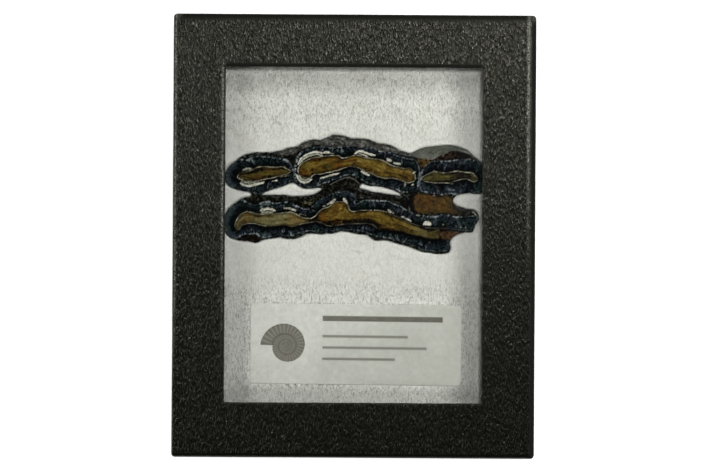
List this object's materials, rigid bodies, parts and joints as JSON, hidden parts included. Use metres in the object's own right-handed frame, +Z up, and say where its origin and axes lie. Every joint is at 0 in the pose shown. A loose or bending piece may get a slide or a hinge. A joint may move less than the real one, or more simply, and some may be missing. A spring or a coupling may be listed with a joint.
{
  "type": "cased fossil mammoth tooth slice",
  "caption": "Polished slice of a fossil mammoth tooth on white batting, with a label, in a flat black board display case with a glass window.",
  "frame": {"origin": "middle of the case's underside, on the surface it lies on", "axes": "+Z up out of the glass, +Y along the case's length towards the display's top edge, +X to the right across the display"},
  "size_m": [0.1142, 0.1396, 0.0191],
  "materials": {
    "leatherette": "black embossed leather-grain paper over board, semi-gloss",
    "board": "black paper-covered board, satin",
    "glass": "clear, polished",
    "batting": "matt white polyester fibre",
    "fossil": "sawn and polished face, rough crust at the edges",
    "label": "translucent matt film"
  },
  "bodies": {
    "root": {"case_lid": "leatherette", "case_tray": "board", "glass_pane": "glass", "batting_pad": "batting", "tooth_slice": "fossil", "specimen_label": "label"}
  },
  "joints": []
}
